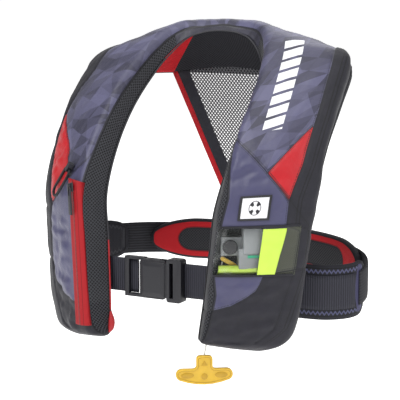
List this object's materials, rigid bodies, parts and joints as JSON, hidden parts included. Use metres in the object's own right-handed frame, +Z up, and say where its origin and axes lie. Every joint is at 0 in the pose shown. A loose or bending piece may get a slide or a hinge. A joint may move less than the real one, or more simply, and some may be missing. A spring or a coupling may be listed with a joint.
{
  "type": "inflatable life jacket",
  "caption": "Packed inflatable life jacket: zipped horseshoe cover over a folded bladder, mesh back yoke, waist belt with side-release buckle, zip pocket, inflator window and pull handle.",
  "frame": {"origin": "on the torso's axis, level with the seat of the collar at the nape, in the neck opening", "axes": "+X to the wearer's left, +Y to the wearer's back, +Z up; the wearer faces -Y"},
  "size_m": [0.4851, 0.347, 0.4984],
  "materials": {
    "navy_print_fabric": "satin",
    "black_mesh_fabric": "matte",
    "black_fabric": "matte",
    "red_fabric": "matte",
    "lime_coated_fabric": "satin",
    "belt_webbing": "matte",
    "black_plastic": "satin",
    "puller_rubber": "matte",
    "grey_plastic": "gloss",
    "clear_film": "gloss",
    "yellow_plastic": "gloss",
    "green_plastic": "gloss",
    "white_woven": "matte",
    "cylinder_steel": "satin"
  },
  "bodies": {
    "jacket": {"back_pad": "red_fabric", "back_panel_collar": "black_mesh_fabric", "back_panel_port": "black_mesh_fabric", "back_panel_starboard": "black_mesh_fabric", "belt_elastic": "belt_webbing", "belt_strap_port": "belt_webbing", "belt_strap_starboard": "belt_webbing", "belt_wing_port": "black_fabric", "belt_wing_starboard": "black_fabric", "bladder": "lime_coated_fabric", "buckle_socket": "black_plastic", "closure_zip": "black_fabric", "edge_piping": "red_fabric", "front_badge": "white_woven", "front_cover_collar": "navy_print_fabric", "front_cover_port": "navy_print_fabric", "front_cover_starboard": "navy_print_fabric", "gas_cylinder": "cylinder_steel", "inflator_body": "grey_plastic", "inflator_cap": "black_plastic", "inflator_window": "clear_film", "loop_anchor": "belt_webbing", "oral_tube": "black_plastic", "oral_tube_cap": "red_fabric", "pocket_zip_tape": "red_fabric", "status_indicator": "green_plastic", "strap_keeper_port": "belt_webbing", "strap_keeper_starboard": "belt_webbing", "whistle": "yellow_plastic", "yoke_binding_port": "black_fabric", "yoke_binding_starboard": "black_fabric", "yoke_mesh": "black_mesh_fabric", "yoke_trim_port": "red_fabric", "yoke_trim_starboard": "red_fabric"},
    "zip_slider": {"zip_slider": "black_plastic"},
    "zip_puller": {"zip_puller": "puller_rubber"},
    "buckle_plug": {"buckle_plug": "black_plastic"},
    "prong_upper": {"buckle_prong_upper": "black_plastic"},
    "prong_lower": {"buckle_prong_lower": "black_plastic"},
    "pull_lever": {"pull_lever": "yellow_plastic"},
    "pull_handle": {"pull_cord": "white_woven", "pull_handle": "yellow_plastic"},
    "accessory_loop": {"accessory_loop": "belt_webbing"}
  },
  "joints": [
    {"name": "buckle_release", "type": "slide", "parent": "jacket", "child": "buckle_plug", "axis": [1, 0, 0], "range_m": [0, 0.033]},
    {"name": "prong_squeeze_upper", "type": "hinge", "parent": "buckle_plug", "child": "prong_upper", "pos_m": [0.0159, -0.1276, -0.279], "axis": [0, -1, 0], "range_deg": [0, 6], "stiffness_Nm_per_rad": 0.5},
    {"name": "prong_squeeze_lower", "type": "hinge", "parent": "buckle_plug", "child": "prong_lower", "pos_m": [0.0159, -0.1276, -0.315], "axis": [0, 1, 0], "range_deg": [0, 6], "stiffness_Nm_per_rad": 0.5},
    {"name": "pocket_zip_slide", "type": "slide", "parent": "jacket", "child": "zip_slider", "axis": [0.0983, -0.0771, -0.9922], "range_m": [0, 0.184]},
    {"name": "zip_puller_swing", "type": "hinge", "parent": "zip_slider", "child": "zip_puller", "pos_m": [-0.13037, -0.15832, -0.17116], "axis": [-0.8056, 0.5792, -0.1248], "range_deg": [0, 110]},
    {"name": "handle_pull", "type": "slide", "parent": "jacket", "child": "pull_handle", "axis": [-0.1488, -0.1135, -0.9823], "range_m": [0, 0.0155]},
    {"name": "lever_turn", "type": "hinge", "parent": "jacket", "child": "pull_lever", "pos_m": [0.12296, -0.12842, -0.2655], "axis": [0.5705, -0.8211, 0.0168], "range_deg": [0, 45]},
    {"name": "accessory_loop_swing", "type": "hinge", "parent": "jacket", "child": "accessory_loop", "pos_m": [-0.14833, -0.13164, -0.14621], "axis": [-0.6285, 0.6375, 0.4456], "range_deg": [0, 90]}
  ],
  "couplings": [
    {"joint": "lever_turn", "follows": "handle_pull", "rad_per_m": 50.6}
  ]
}
